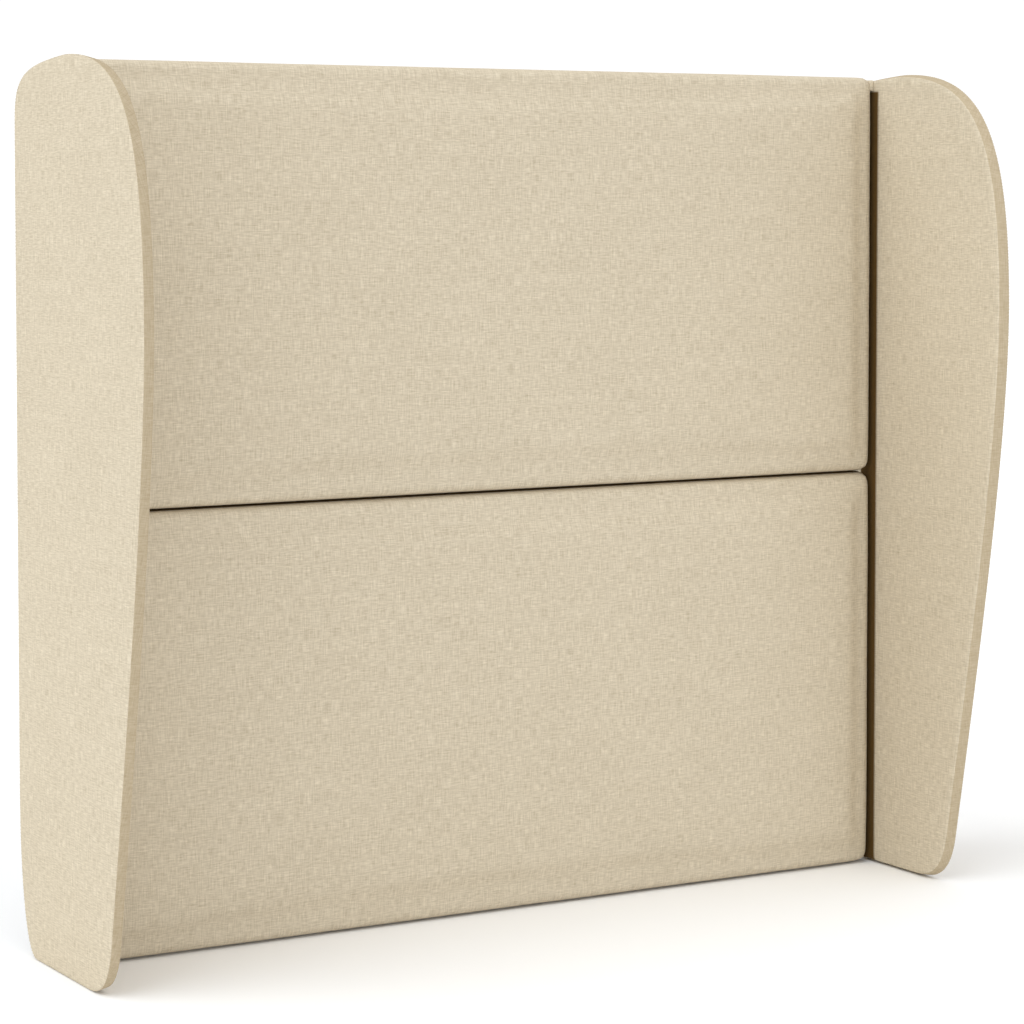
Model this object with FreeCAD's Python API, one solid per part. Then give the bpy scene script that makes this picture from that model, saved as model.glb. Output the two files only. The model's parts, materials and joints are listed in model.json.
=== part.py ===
import FreeCAD, Part
import math
import os

# Winged upholstered headboard, in millimetres, +Z up, front facing -Y.
# The origin is on the floor, midway between the wings and midway along their depth.
# Two padded panels stand one above the other between two thin padded wings.
# Each panel is a timber frame with a face board, foam, a fabric cover and a dust cloth.
# Struts bolted behind the panels join them, and angle brackets hold the wings.

os.makedirs("parts", exist_ok=True)

V = FreeCAD.Vector
UP = V(0, 0, 1)
DOWN = V(0, 0, -1)
FRONT = V(0, -1, 0)
BACK = V(0, 1, 0)

# Overall sizes
PANEL_WIDTH = 1530.0
UPPER_HEIGHT = 702.0
LOWER_HEIGHT = 702.0
FLOOR_GAP = 2.0
SEAM_GAP = 3.0
GROOVE = 8.0
WING_DEPTH = 501.0
WING_RISE = 2.0
PANEL_SETBACK = 336.0

# Panel layers, front to back
FABRIC = 1.0
PANEL_FOAM = 25.0
FACE_BOARD = 3.0
FRAME_DEPTH = 22.0
PANEL_EDGE_FOAM = 6.0
DUST_CLOTH = 0.5
PANEL_EDGE_ROUND = 24.0

# Timber
RAIL_WIDTH = 45.0
STUD_WIDTH = 45.0
STUD_OFFSET = 480.0
STRUT_WIDTH = 70.0
STRUT_DEPTH = 20.0
STRUT_END = 40.0
SEAM_BOLT_INSET = 95.0

# Cover flange, dust cloth and staples behind a panel
FLANGE_WIDTH = 42.0
CLOTH_INSET = 8.0
STAPLE_INSET = 18.0
STAPLE_PITCH = 90.0
STAPLE_CROWN = 10.0
STAPLE_WIRE = 0.9
STAPLE_LEG = 8.0
STAPLE_CLEARANCE = 0.05

# Wing layers, inside to outside
WING_FOAM = 3.0
WING_BOARD = 12.0
WING_EDGE_FOAM = 13.0

# Wing outline, as shares of its depth from the back and of its height.
# Each curve starts where the one before it ends; its two middle points only steer it.
WING_CURVES = {
    "back": [(0.0, 0.185), (0.0, 0.93)],
    "top_back": [(0.0, 0.93), (0.0, 0.98), (0.06, 0.992), (0.42, 1.0)],
    "top_front": [(0.42, 1.0), (0.85, 1.0), (1.0, 0.924), (1.0, 0.709)],
    "front": [(1.0, 0.709), (1.0, 0.549), (0.835, 0.25), (0.735, 0.06)],
    "toe": [(0.735, 0.06), (0.711, 0.012), (0.64, 0.0), (0.56, 0.0)],
    "base": [(0.56, 0.0), (0.13, 0.0)],
    "heel": [(0.13, 0.0), (0.06, 0.0), (0.0, 0.07), (0.0, 0.185)],
}

# Angle brackets
BRACKET_LEG = 55.0
BRACKET_HEIGHT = 60.0
BRACKET_THICK = 3.0
BRACKET_HOLE_PITCH = 32.0
BRACKET_INSET = 150.0

# Spacer blocks that close each groove at its top
SPACER_DROP = 6.0
SPACER_HEIGHT = 19.0
SPACER_SETBACK = 22.0
SPACER_DEPTH = 24.0

# M6 furniture hardware
BOLT_RADIUS = 3.0
BOLT_HEAD_RADIUS = 6.0
BOLT_HEAD_HEIGHT = 3.3
SOCKET_RADIUS = 2.3
SOCKET_DEPTH = 2.0
WASHER_RADIUS = 9.0
WASHER_THICK = 1.6
HOLE_CLEARANCE = 0.3
THREAD_CLEARANCE = 0.05
TEE_FLANGE_RADIUS = 9.5
TEE_FLANGE_THICK = 1.3
TEE_BARREL_RADIUS = 4.0
TEE_BARREL_LENGTH = 9.0
TEE_CLEARANCE = 0.1
TEE_RELIEF = 0.8
BOLT_END_GAP = 0.6

# M8 tee nuts low in the lower panel, for bed legs or frame brackets
LEG_BOLT_RADIUS = 4.0
LEG_BARREL_RADIUS = 5.0
LEG_BARREL_LENGTH = 11.0
LEG_FLANGE_RADIUS = 11.0
LEG_BOLT_LOW = 120.0
LEG_BOLT_PITCH = 100.0
LEG_CLOTH_HOLE_RADIUS = 7.0

# Frame screws
SCREW_RADIUS = 2.0
SCREW_HEAD_RADIUS = 4.0
SCREW_HEAD_HEIGHT = 2.4
SCREW_LENGTH = 70.0
SCREW_SPREAD = 12.0
SCREW_CLEARANCE = 0.05

# Places that follow from the sizes
PANEL_DEPTH = FABRIC + PANEL_FOAM + FACE_BOARD + FRAME_DEPTH + FABRIC + DUST_CLOTH
UPPER_BOTTOM = FLOOR_GAP + LOWER_HEIGHT + SEAM_GAP
PANELS_TOP = UPPER_BOTTOM + UPPER_HEIGHT
WING_HEIGHT = PANELS_TOP + WING_RISE
WING_THICK = 2 * FABRIC + 2 * WING_FOAM + WING_BOARD
WING_INSIDE = PANEL_WIDTH / 2 + GROOVE
WING_FRONT = -WING_DEPTH / 2
PANEL_FRONT = WING_FRONT + PANEL_SETBACK
FOAM_FRONT = PANEL_FRONT + FABRIC
BOARD_FRONT = FOAM_FRONT + PANEL_FOAM
FRAME_FRONT = BOARD_FRONT + FACE_BOARD
FRAME_BACK = FRAME_FRONT + FRAME_DEPTH
FLANGE_BACK = FRAME_BACK + FABRIC
PANEL_BACK = FLANGE_BACK + DUST_CLOTH
FRAME_INSET = FABRIC + PANEL_EDGE_FOAM
STILE_CENTRE = PANEL_WIDTH / 2 - FRAME_INSET - STUD_WIDTH / 2
STUD_CENTRES = [-STUD_OFFSET, 0.0, STUD_OFFSET]
BRACKET_REACH = WING_INSIDE - STILE_CENTRE
LEG_BOLT_HEIGHTS = [FLOOR_GAP + LEG_BOLT_LOW, FLOOR_GAP + LEG_BOLT_LOW + LEG_BOLT_PITCH]


def block(x0, x1, y0, y1, z0, z1):
    """A box between two corners."""
    return Part.makeBox(x1 - x0, y1 - y0, z1 - z0, V(x0, y0, z0))


def rod(point, axis, radius, length):
    """A cylinder that starts at a point and runs along an axis."""
    return Part.makeCylinder(radius, length, point, axis)


def placed(shape, point, axis):
    """Put a shape that was built on the Z axis at a point, with +Z turned to an axis."""
    shape.Placement = FreeCAD.Placement(point, FreeCAD.Rotation(UP, axis))
    return shape


def cut_all(shape, tools):
    """Cut a list of tools out of a shape at once."""
    if not tools:
        return shape
    return shape.cut(Part.makeCompound(tools))


def save(name, shapes):
    """Write one node, which is a single solid or a group of separate solids."""
    shape = shapes
    if isinstance(shapes, list):
        shape = shapes[0] if len(shapes) == 1 else Part.makeCompound(shapes)
    shape.exportStep(f"parts/{name}.step")


# Hardware, each built on the Z axis with its seat at the origin

def bolt(point, axis, length):
    """A button-head bolt: the head stands along the axis and the shank runs back from it."""
    head = Part.makeCylinder(BOLT_HEAD_RADIUS, BOLT_HEAD_HEIGHT)
    rim = [edge for edge in head.Edges if abs(edge.CenterOfMass.z - BOLT_HEAD_HEIGHT) < 0.01]
    head = head.makeFillet(BOLT_HEAD_HEIGHT * 0.6, rim)
    corners = [V(SOCKET_RADIUS * math.cos(math.radians(60 * i)),
                 SOCKET_RADIUS * math.sin(math.radians(60 * i)),
                 BOLT_HEAD_HEIGHT - SOCKET_DEPTH) for i in range(7)]
    socket = Part.Face(Part.makePolygon(corners)).extrude(UP * SOCKET_DEPTH)
    shank = rod(V(0, 0, 0), DOWN, BOLT_RADIUS, length)
    return placed(head.cut(socket).fuse(shank).removeSplitter(), point, axis)


def washer(point, axis):
    """A flat washer that lies on its seat."""
    ring = Part.makeCylinder(WASHER_RADIUS, WASHER_THICK)
    hole = Part.makeCylinder(BOLT_RADIUS + HOLE_CLEARANCE, WASHER_THICK)
    return placed(ring.cut(hole), point, axis)


def tee_nut(point, axis, flange_radius, barrel_radius, barrel_length, bore_radius):
    """A tee nut: the flange lies on its seat and the barrel runs back into the timber."""
    flange = Part.makeCylinder(flange_radius, TEE_FLANGE_THICK)
    barrel = rod(V(0, 0, 0), DOWN, barrel_radius, barrel_length)
    bore = rod(V(0, 0, TEE_FLANGE_THICK), DOWN, bore_radius, TEE_FLANGE_THICK + barrel_length)
    return placed(flange.fuse(barrel).removeSplitter().cut(bore), point, axis)


def small_tee_nut(point, axis):
    """The M6 tee nut that takes the headboard's own bolts."""
    return tee_nut(point, axis, TEE_FLANGE_RADIUS, TEE_BARREL_RADIUS, TEE_BARREL_LENGTH,
                   BOLT_RADIUS + THREAD_CLEARANCE)


def leg_tee_nut(point, axis):
    """The M8 tee nut that takes a bed leg or a frame bracket."""
    return tee_nut(point, axis, LEG_FLANGE_RADIUS, LEG_BARREL_RADIUS, LEG_BARREL_LENGTH,
                   LEG_BOLT_RADIUS + THREAD_CLEARANCE)


def wood_screw(point, axis, clearance):
    """A countersunk screw whose head is flush at its point; clearance swells it into its hole."""
    head_radius = SCREW_HEAD_RADIUS + clearance
    shank_radius = SCREW_RADIUS + clearance
    head = Part.makeCone(shank_radius, head_radius, SCREW_HEAD_HEIGHT, V(0, 0, -SCREW_HEAD_HEIGHT))
    shank = rod(V(0, 0, -SCREW_HEAD_HEIGHT), DOWN, shank_radius,
                SCREW_LENGTH - SCREW_HEAD_HEIGHT + clearance)
    return placed(head.fuse(shank), point, axis)


def staple_legs(x, z, along_x, thickness):
    """The two legs of a staple, or with a larger thickness the slits that they fill."""
    half = thickness / 2
    reach = STAPLE_CROWN / 2 - STAPLE_WIRE / 2
    legs = []
    for side in (-reach, reach):
        cx = x + side if along_x else x
        cz = z if along_x else z + side
        legs.append(block(cx - half, cx + half, PANEL_BACK - STAPLE_LEG, PANEL_BACK,
                          cz - half, cz + half))
    return legs


def staple(x, z, along_x):
    """A staple driven from behind, with its crown on the dust cloth."""
    half = STAPLE_WIRE / 2
    long = STAPLE_CROWN / 2
    dx = long if along_x else half
    dz = half if along_x else long
    crown = block(x - dx, x + dx, PANEL_BACK, PANEL_BACK + STAPLE_WIRE, z - dz, z + dz)
    return crown.multiFuse(staple_legs(x, z, along_x, STAPLE_WIRE)).removeSplitter()


def spaced(first, last, pitch):
    """Evenly spaced places from first to last, no further apart than the pitch."""
    count = max(1, math.ceil((last - first) / pitch))
    return [first + (last - first) * i / count for i in range(count + 1)]


class Panel:
    """One padded panel: where its frame, bolts, screws and staples go, and its nodes."""

    def __init__(self, name, bottom, height, seam_side, has_leg_nuts):
        self.name = name
        self.bottom = bottom
        self.top = bottom + height
        self.middle = bottom + height / 2
        seam_edge = self.bottom if seam_side == "bottom" else self.top
        into_panel = 1 if seam_side == "bottom" else -1
        self.strut_bolt_heights = [seam_edge + into_panel * SEAM_BOLT_INSET, self.middle]
        self.bracket_heights = [self.bottom + BRACKET_INSET, self.top - BRACKET_INSET]
        self.seam_edge = seam_edge
        self.leg_points = []
        if has_leg_nuts:
            self.leg_points = [(x, z) for x in (-STUD_OFFSET, STUD_OFFSET) for z in LEG_BOLT_HEIGHTS]

    def bolt_points(self):
        """The x and z of every M6 bolt in the panel."""
        points = [(x, z) for x in STUD_CENTRES for z in self.strut_bolt_heights]
        for x in (-STILE_CENTRE, STILE_CENTRE):
            for height in self.bracket_heights:
                points += [(x, height - BRACKET_HOLE_PITCH / 2), (x, height + BRACKET_HOLE_PITCH / 2)]
        return points

    def staple_places(self):
        """Each staple's x, z and direction, leaving out those that a bracket or strut would cover."""
        side = PANEL_WIDTH / 2 - STAPLE_INSET
        low = self.bottom + STAPLE_INSET
        high = self.top - STAPLE_INSET
        places = []
        corner = RAIL_WIDTH
        for x in spaced(-side + corner, side - corner, STAPLE_PITCH):
            under_strut = any(abs(x - s) < (STRUT_WIDTH + STAPLE_CROWN) / 2 + 1 for s in STUD_CENTRES)
            for z, is_seam in ((low, self.seam_edge == self.bottom), (high, self.seam_edge == self.top)):
                if not (is_seam and under_strut):
                    places.append((x, z, True))
        for z in spaced(low + corner, high - corner, STAPLE_PITCH):
            clear = (BRACKET_HEIGHT + STAPLE_CROWN) / 2 + 1
            if all(abs(z - height) > clear for height in self.bracket_heights):
                places += [(-side, z, False), (side, z, False)]
        return places

    def screw_places(self):
        """Each frame screw's point and direction: through a rail into the end of an upright."""
        uprights = [-STILE_CENTRE] + STUD_CENTRES + [STILE_CENTRE]
        middle = (FRAME_FRONT + FRAME_BACK) / 2
        places = []
        for x in uprights:
            for offset in (-SCREW_SPREAD, SCREW_SPREAD):
                places.append((V(x + offset, middle, self.top - FRAME_INSET), UP))
                places.append((V(x + offset, middle, self.bottom + FRAME_INSET), DOWN))
        return places

    def holes(self, y0, y1, small_radius, leg_radius):
        """Bolt holes from front to back over a span of depth."""
        tools = [rod(V(x, y0, z), BACK, small_radius, y1 - y0) for x, z in self.bolt_points()]
        tools += [rod(V(x, y0, z), BACK, leg_radius, y1 - y0) for x, z in self.leg_points]
        return tools

    def frame_parts(self):
        """The rails, stiles and studs, as plain timber before any hole."""
        half = PANEL_WIDTH / 2 - FRAME_INSET
        low = self.bottom + FRAME_INSET
        high = self.top - FRAME_INSET
        parts = {
            "top_rail": block(-half, half, FRAME_FRONT, FRAME_BACK, high - RAIL_WIDTH, high),
            "bottom_rail": block(-half, half, FRAME_FRONT, FRAME_BACK, low, low + RAIL_WIDTH),
        }
        uprights = {"left_stile": -STILE_CENTRE, "left_stud": -STUD_OFFSET, "centre_stud": 0.0,
                    "right_stud": STUD_OFFSET, "right_stile": STILE_CENTRE}
        for name, x in uprights.items():
            parts[name] = block(x - STUD_WIDTH / 2, x + STUD_WIDTH / 2, FRAME_FRONT, FRAME_BACK,
                                low + RAIL_WIDTH, high - RAIL_WIDTH)
        return parts

    def rounded_pad(self, inset, y_front, y_back, edge_round):
        """A pad as large as the panel less an inset, with its front edges rounded."""
        half = PANEL_WIDTH / 2 - inset
        pad = block(-half, half, y_front, y_back, self.bottom + inset, self.top - inset)
        rim = [edge for edge in pad.Edges if abs(edge.BoundBox.YMax - y_front) < 0.01]
        return pad.makeFillet(edge_round, rim)

    def cover(self, slits):
        """The fabric cover: over the foam, round the sides and turned in behind as a flange."""
        outside = self.rounded_pad(0.0, PANEL_FRONT, FLANGE_BACK, PANEL_EDGE_ROUND)
        inside = self.rounded_pad(FABRIC, FOAM_FRONT, FRAME_BACK, PANEL_EDGE_ROUND - FABRIC)
        inner = FABRIC + FLANGE_WIDTH
        window = block(-PANEL_WIDTH / 2 + inner, PANEL_WIDTH / 2 - inner, FRAME_BACK, FLANGE_BACK,
                       self.bottom + inner, self.top - inner)
        shell = outside.cut(inside).cut(window)
        holes = self.holes(FRAME_BACK, FLANGE_BACK, TEE_BARREL_RADIUS, LEG_BARREL_RADIUS)
        return cut_all(shell, holes + slits)

    def build(self):
        """Write every node of the panel."""
        places = self.staple_places()
        slit = STAPLE_WIRE + 2 * STAPLE_CLEARANCE
        slits = [leg for x, z, along_x in places for leg in staple_legs(x, z, along_x, slit)]
        screw_holes = [wood_screw(point, axis, SCREW_CLEARANCE) for point, axis in self.screw_places()]
        barrel_holes = self.holes(FRAME_FRONT, FRAME_BACK, TEE_BARREL_RADIUS + TEE_CLEARANCE,
                                  LEG_BARREL_RADIUS + TEE_CLEARANCE)
        frame_tools = slits + screw_holes + barrel_holes
        for part_name, timber in self.frame_parts().items():
            near = [tool for tool in frame_tools if tool.BoundBox.intersect(timber.BoundBox)]
            save(f"{self.name}_{part_name}", cut_all(timber, near))

        half = PANEL_WIDTH / 2 - FRAME_INSET
        low = self.bottom + FRAME_INSET
        high = self.top - FRAME_INSET
        board = block(-half, half, BOARD_FRONT, FRAME_FRONT, low, high)
        reliefs = self.holes(BOARD_FRONT, FRAME_FRONT, TEE_FLANGE_RADIUS + TEE_RELIEF,
                             LEG_FLANGE_RADIUS + TEE_RELIEF)
        save(f"{self.name}_face_board", cut_all(board, reliefs))
        pad = self.rounded_pad(FABRIC, FOAM_FRONT, FRAME_BACK, PANEL_EDGE_ROUND - FABRIC)
        save(f"{self.name}_foam", pad.cut(block(-half, half, BOARD_FRONT, FRAME_BACK, low, high)))
        save(f"{self.name}_cover", self.cover(slits))

        edge = PANEL_WIDTH / 2 - CLOTH_INSET
        cloth = block(-edge, edge, FLANGE_BACK, PANEL_BACK,
                      self.bottom + CLOTH_INSET, self.top - CLOTH_INSET)
        cloth_holes = self.holes(FLANGE_BACK, PANEL_BACK, TEE_BARREL_RADIUS, LEG_CLOTH_HOLE_RADIUS)
        save(f"{self.name}_dust_cloth", cut_all(cloth, cloth_holes + slits))

        save(f"{self.name}_staples", [staple(x, z, along_x) for x, z, along_x in places])
        save(f"{self.name}_frame_screws",
             [wood_screw(point, axis, 0.0) for point, axis in self.screw_places()])
        save(f"{self.name}_tee_nuts",
             [small_tee_nut(V(x, FRAME_FRONT, z), FRONT) for x, z in self.bolt_points()])


def build_struts(panels):
    """Three timber struts across the seam, with their bolts and washers."""
    low = min(z for panel in panels for z in panel.strut_bolt_heights) - STRUT_END
    high = max(z for panel in panels for z in panel.strut_bolt_heights) + STRUT_END
    strut_back = PANEL_BACK + STRUT_DEPTH
    length = WASHER_THICK + strut_back - FRAME_FRONT - BOLT_END_GAP
    bolts = []
    washers = []
    for name, x in zip(("left", "centre", "right"), STUD_CENTRES):
        heights = [z for panel in panels for z in panel.strut_bolt_heights]
        timber = block(x - STRUT_WIDTH / 2, x + STRUT_WIDTH / 2, PANEL_BACK, strut_back, low, high)
        holes = [rod(V(x, PANEL_BACK, z), BACK, BOLT_RADIUS + HOLE_CLEARANCE, STRUT_DEPTH)
                 for z in heights]
        save(f"strut_{name}", cut_all(timber, holes))
        for z in heights:
            washers.append(washer(V(x, strut_back, z), BACK))
            bolts.append(bolt(V(x, strut_back + WASHER_THICK, z), BACK, length))
    save("strut_bolts", bolts)
    save("strut_washers", washers)


def wing_outline(x, inset):
    """The wing's closed outline in a plane of constant x, drawn in by an inset all round."""
    depth = WING_DEPTH - 2 * inset
    height = WING_HEIGHT - 2 * inset
    back = WING_DEPTH / 2 - inset

    def curve(shares):
        """A straight line for two shares, or a smooth curve steered by its middle ones."""
        points = [V(x, back - share[0] * depth, inset + share[1] * height) for share in shares]
        if len(points) == 2:
            return Part.makeLine(*points)
        path = Part.BezierCurve()
        path.setPoles(points)
        return path.toShape()

    return Part.Wire([curve(shares) for shares in WING_CURVES.values()])


def wing_layer(side, near, far, inset):
    """A flat layer of a wing between two distances out from the wing's inner face."""
    start = side * (WING_INSIDE + near)
    return Part.Face(wing_outline(start, inset)).extrude(V(side * (far - near), 0, 0))


def wing_bolt_points(panels):
    """The y and z of every bolt that holds a wing."""
    y = PANEL_BACK + BRACKET_REACH
    heights = [z for panel in panels for z in panel.bracket_heights]
    return [(y, z + shift) for z in heights for shift in (-BRACKET_HOLE_PITCH / 2, BRACKET_HOLE_PITCH / 2)]


def build_wing(name, side, panels):
    """Write every node of one wing; side is -1 on the left and +1 on the right."""
    foam_start = FABRIC
    board_start = foam_start + WING_FOAM
    board_end = board_start + WING_BOARD
    foam_end = board_end + WING_FOAM
    outwards = V(side, 0, 0)
    points = wing_bolt_points(panels)

    def holes(near, far, radius):
        """Bolt holes across a span of the wing's thickness."""
        return [rod(V(side * (WING_INSIDE + near), y, z), outwards, radius, far - near)
                for y, z in points]

    clear = BOLT_RADIUS + HOLE_CLEARANCE
    tray = wing_layer(side, 0.0, foam_end, 0.0).cut(wing_layer(side, foam_start, foam_end, FABRIC))
    save(f"wing_{name}_inner_cover", cut_all(tray, holes(0.0, foam_start, clear)))
    pad = wing_layer(side, foam_start, board_end, FABRIC)
    board = wing_layer(side, board_start, board_end, FABRIC + WING_EDGE_FOAM)
    save(f"wing_{name}_inner_foam", cut_all(pad.cut(board), holes(foam_start, board_start, clear)))
    save(f"wing_{name}_board",
         cut_all(board, holes(board_start, board_end, TEE_BARREL_RADIUS + TEE_CLEARANCE)))
    foam = wing_layer(side, board_end, foam_end, FABRIC)
    save(f"wing_{name}_outer_foam",
         cut_all(foam, holes(board_end, foam_end, TEE_FLANGE_RADIUS + TEE_RELIEF)))
    save(f"wing_{name}_outer_cover", wing_layer(side, foam_end, WING_THICK, 0.0))
    save(f"wing_{name}_tee_nuts",
         [small_tee_nut(V(side * (WING_INSIDE + board_end), y, z), outwards) for y, z in points])


def angle_bracket(side, height):
    """A steel angle in the corner behind a panel and beside a wing, with two holes a leg."""
    corner = side * WING_INSIDE
    inner = corner - side * BRACKET_LEG
    low = height - BRACKET_HEIGHT / 2
    high = height + BRACKET_HEIGHT / 2
    panel_leg = block(min(corner, inner), max(corner, inner), PANEL_BACK, PANEL_BACK + BRACKET_THICK,
                      low, high)
    face = corner - side * BRACKET_THICK
    wing_leg = block(min(corner, face), max(corner, face), PANEL_BACK, PANEL_BACK + BRACKET_LEG,
                     low, high)
    clear = BOLT_RADIUS + HOLE_CLEARANCE
    holes = []
    for shift in (-BRACKET_HOLE_PITCH / 2, BRACKET_HOLE_PITCH / 2):
        z = height + shift
        holes.append(rod(V(side * STILE_CENTRE, PANEL_BACK, z), BACK, clear, BRACKET_THICK))
        holes.append(rod(V(face, PANEL_BACK + BRACKET_REACH, z), V(side, 0, 0), clear, BRACKET_THICK))
    angle = panel_leg.fuse(wing_leg).removeSplitter()
    inside_corner = [edge for edge in angle.Edges
                     if abs(edge.CenterOfMass.x - face) < 0.01
                     and abs(edge.CenterOfMass.y - PANEL_BACK - BRACKET_THICK) < 0.01]
    return cut_all(angle.makeFillet(BRACKET_THICK, inside_corner), holes)


def build_brackets(panels):
    """Write the angle brackets and the bolts and washers in both of their legs."""
    heights = [z for panel in panels for z in panel.bracket_heights]
    panel_seat = PANEL_BACK + BRACKET_THICK
    panel_bolt = WASHER_THICK + panel_seat - FRAME_FRONT - BOLT_END_GAP
    wing_bolt = WASHER_THICK + BRACKET_THICK + FABRIC + WING_FOAM + WING_BOARD - BOLT_END_GAP
    panel_bolts = []
    wing_bolts = []
    washers = []
    for name, side in (("left", -1), ("right", 1)):
        inwards = V(-side, 0, 0)
        wing_seat = side * (WING_INSIDE - BRACKET_THICK)
        for i, height in enumerate(heights):
            save(f"bracket_{name}_{i + 1}", angle_bracket(side, height))
            for shift in (-BRACKET_HOLE_PITCH / 2, BRACKET_HOLE_PITCH / 2):
                z = height + shift
                washers.append(washer(V(side * STILE_CENTRE, panel_seat, z), BACK))
                panel_bolts.append(bolt(V(side * STILE_CENTRE, panel_seat + WASHER_THICK, z), BACK,
                                        panel_bolt))
                y = PANEL_BACK + BRACKET_REACH
                washers.append(washer(V(wing_seat, y, z), inwards))
                wing_bolts.append(bolt(V(wing_seat - side * WASHER_THICK, y, z), inwards, wing_bolt))
    save("bracket_panel_bolts", panel_bolts)
    save("bracket_wing_bolts", wing_bolts)
    save("bracket_washers", washers)


def build_spacers():
    """A covered block at the top of each groove, which holds it to its width."""
    top = PANELS_TOP - SPACER_DROP
    front = PANEL_FRONT + SPACER_SETBACK
    for name, side in (("left", -1), ("right", 1)):
        edge = side * PANEL_WIDTH / 2
        wing = side * WING_INSIDE
        save(f"groove_spacer_{name}", block(min(edge, wing), max(edge, wing), front,
                                            front + SPACER_DEPTH, top - SPACER_HEIGHT, top))


def main():
    """Build the headboard."""
    lower = Panel("lower", FLOOR_GAP, LOWER_HEIGHT, "top", True)
    upper = Panel("upper", UPPER_BOTTOM, UPPER_HEIGHT, "bottom", False)
    panels = [lower, upper]
    for panel in panels:
        panel.build()
    save("leg_tee_nuts", [leg_tee_nut(V(x, FRAME_FRONT, z), FRONT) for x, z in lower.leg_points])
    build_struts(panels)
    for name, side in (("left", -1), ("right", 1)):
        build_wing(name, side, panels)
    build_brackets(panels)
    build_spacers()


main()
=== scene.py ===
import json
import logging
import math
from dataclasses import dataclass, field
from enum import Enum
from typing import Any, Iterable, Optional

import bmesh
import bpy
import numpy as np
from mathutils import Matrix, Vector, noise
from mathutils.geometry import delaunay_2d_cdt


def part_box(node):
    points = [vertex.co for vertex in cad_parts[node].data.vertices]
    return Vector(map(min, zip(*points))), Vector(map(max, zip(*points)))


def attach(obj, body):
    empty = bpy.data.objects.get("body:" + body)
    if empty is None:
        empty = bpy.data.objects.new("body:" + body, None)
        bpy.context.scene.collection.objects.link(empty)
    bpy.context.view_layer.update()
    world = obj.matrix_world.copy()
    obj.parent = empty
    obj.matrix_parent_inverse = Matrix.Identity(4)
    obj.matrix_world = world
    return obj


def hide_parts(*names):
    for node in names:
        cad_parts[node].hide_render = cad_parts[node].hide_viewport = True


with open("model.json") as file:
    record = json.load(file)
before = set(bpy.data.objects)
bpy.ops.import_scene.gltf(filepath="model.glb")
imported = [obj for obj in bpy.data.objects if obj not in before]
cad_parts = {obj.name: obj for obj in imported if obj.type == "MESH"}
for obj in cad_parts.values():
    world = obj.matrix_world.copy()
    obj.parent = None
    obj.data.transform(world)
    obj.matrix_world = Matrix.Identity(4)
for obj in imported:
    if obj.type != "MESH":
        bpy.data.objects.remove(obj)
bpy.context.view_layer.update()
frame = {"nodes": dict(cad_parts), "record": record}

CLOTH_MAP = "cloth"

# Places on the panels that the CAD frame fixes, in metres
STUD_PLACES = (-0.48, 0.0, 0.48)
STUD_HALF = 0.0225
BOLT_HOLE = 0.0042
LEG_HOLE = 0.0070
BRACKET_PLACE = 0.736
BOLT_HEIGHTS = {"lower": (0.353, 0.609), "upper": (0.802, 1.058)}
BRACKET_HEIGHTS = {"lower": (0.136, 0.168, 0.538, 0.570), "upper": (0.841, 0.873, 1.243, 1.275)}
LEG_HEIGHTS = (0.122, 0.222)

LOG = logging.getLogger("headboard")

Colour = tuple[float, float, float]
Point = tuple[float, float, float]


class Side(Enum):
    """Which wing or groove a piece belongs to; the value is the sign of its x."""

    LEFT = -1
    RIGHT = 1

    @property
    def word(self) -> str:
        """The side's name as the nodes spell it."""
        return self.name.lower()


class Grain(Enum):
    """The direction in which a board's grain runs."""

    ACROSS = 0
    UPRIGHT = 2


# ---------------------------------------------------------------------------
# Finishes
# ---------------------------------------------------------------------------


class Term:
    """One output of a material's nodes, which can stand in a sum."""

    def __init__(self, recipe: "Recipe", socket: bpy.types.NodeSocket) -> None:
        """Hold the recipe and the socket."""
        self.recipe = recipe
        self.socket = socket

    def _math(self, operation: str, first: Any, second: Any = 0.0) -> "Term":
        """Add one Math node.

        Args:
            operation: the node's operation.
            first: its first value, a Term or a number.
            second: its second value.

        Returns:
            The node's output.
        """
        return self.recipe.node("ShaderNodeMath", {"operation": operation}, {0: first, 1: second})

    def __add__(self, other: Any) -> "Term":
        """This plus other."""
        return self._math("ADD", self, other)

    def __radd__(self, other: Any) -> "Term":
        """Other plus this."""
        return self._math("ADD", other, self)

    def __sub__(self, other: Any) -> "Term":
        """This less other."""
        return self._math("SUBTRACT", self, other)

    def __rsub__(self, other: Any) -> "Term":
        """Other less this."""
        return self._math("SUBTRACT", other, self)

    def __mul__(self, other: Any) -> "Term":
        """This times other."""
        return self._math("MULTIPLY", self, other)

    def __rmul__(self, other: Any) -> "Term":
        """Other times this."""
        return self._math("MULTIPLY", other, self)

    def __truediv__(self, other: Any) -> "Term":
        """This divided by other."""
        return self._math("DIVIDE", self, other)

    def __pow__(self, other: Any) -> "Term":
        """This to the power of other."""
        return self._math("POWER", self, other)

    def sine(self) -> "Term":
        """The sine of this, in radians."""
        return self._math("SINE", self)

    def size(self) -> "Term":
        """This without its sign."""
        return self._math("ABSOLUTE", self)

    def spread(self, low: float, high: float, to_low: float = 0.0, to_high: float = 1.0) -> "Term":
        """Stretch a range of this to another range and clamp it.

        Args:
            low: where the range starts.
            high: where it ends.
            to_low: what low becomes.
            to_high: what high becomes.

        Returns:
            The stretched term.
        """
        return self.recipe.node("ShaderNodeMapRange", {"clamp": True},
                                {0: self, 1: low, 2: high, 3: to_low, 4: to_high})

    def within(self, low: float, high: float, rise: float, fall: float) -> "Term":
        """A mask of a range.

        Args:
            low: where the mask has reached 1.
            high: where it starts to fall.
            rise: how far before low it starts.
            fall: how far past high it ends.

        Returns:
            1 inside the range and 0 well outside it.
        """
        return self.spread(low - rise, low) * (1 - self.spread(high, high + fall))


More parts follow.
